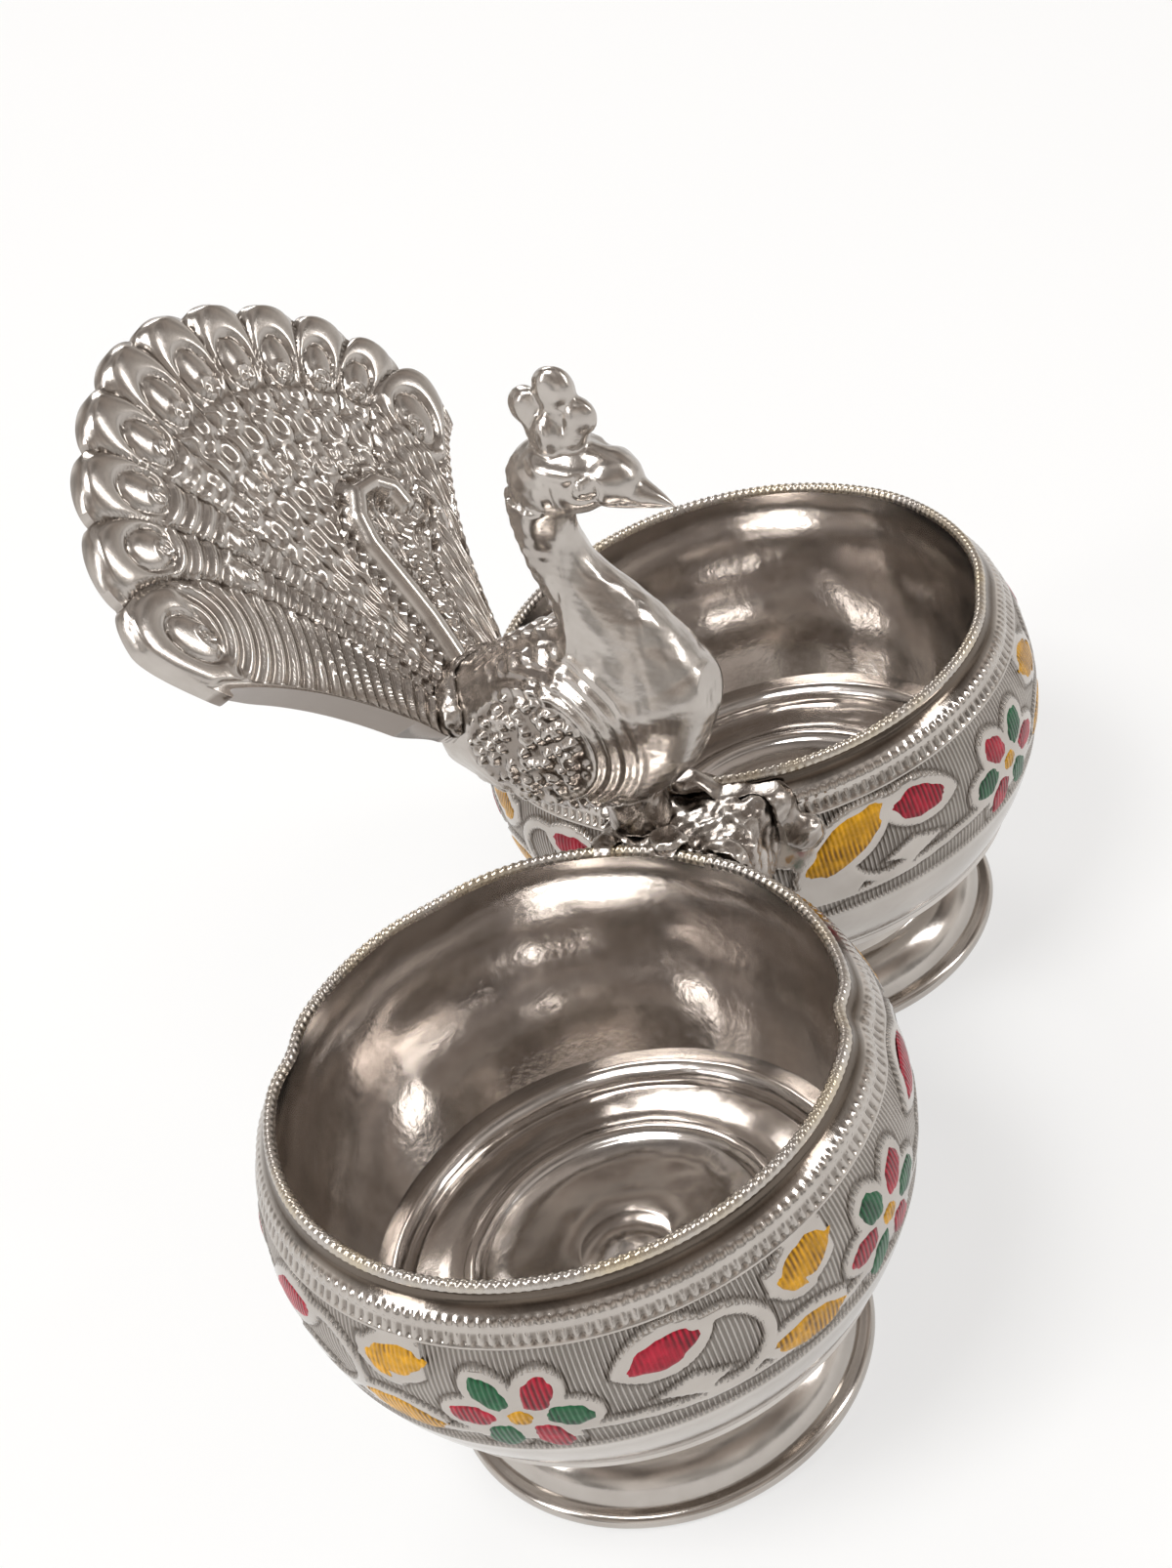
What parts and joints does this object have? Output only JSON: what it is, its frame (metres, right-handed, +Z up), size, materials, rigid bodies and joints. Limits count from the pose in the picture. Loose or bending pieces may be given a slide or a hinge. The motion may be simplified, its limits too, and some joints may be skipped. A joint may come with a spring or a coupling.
{
  "type": "kumkum holder",
  "caption": "Two footed white-metal bowls joined by a small saddle that carries a peacock with a fanned tail, for holding kumkum and turmeric powder.",
  "frame": {"origin": "middle of the footprint of the whole object, on the table plane under the feet", "axes": "+X runs along the line of the two bowls, the peacock looks towards -Y and its tail leans back towards +Y, +Z is up"},
  "size_m": [0.1058, 0.0634, 0.0816],
  "materials": {
    "polished_white_metal": "polished",
    "stamped_white_metal": "polished with matt hatching",
    "milled_wire": "milled, slightly worn",
    "cast_white_metal": "polished casting",
    "stamped_tail_metal": "polished relief",
    "solder": "cast blobs",
    "red_enamel": "gloss paint",
    "green_enamel": "gloss paint",
    "yellow_enamel": "gloss paint"
  },
  "bodies": {
    "root": {"left_bowl_wall": "stamped_white_metal", "left_rim_wire": "milled_wire", "left_bowl_floor": "polished_white_metal", "left_foot": "polished_white_metal", "left_foot_solder": "solder", "left_red_enamel": "red_enamel", "left_green_enamel": "green_enamel", "left_yellow_enamel": "yellow_enamel", "left_saddle_solder": "solder", "right_bowl_wall": "stamped_white_metal", "right_rim_wire": "milled_wire", "right_bowl_floor": "polished_white_metal", "right_foot": "polished_white_metal", "right_foot_solder": "solder", "right_red_enamel": "red_enamel", "right_green_enamel": "green_enamel", "right_yellow_enamel": "yellow_enamel", "right_saddle_solder": "solder", "saddle": "cast_white_metal", "peacock_peg": "cast_white_metal", "peacock": "cast_white_metal", "tail_fan": "stamped_tail_metal", "tail_solder": "solder"}
  },
  "joints": []
}
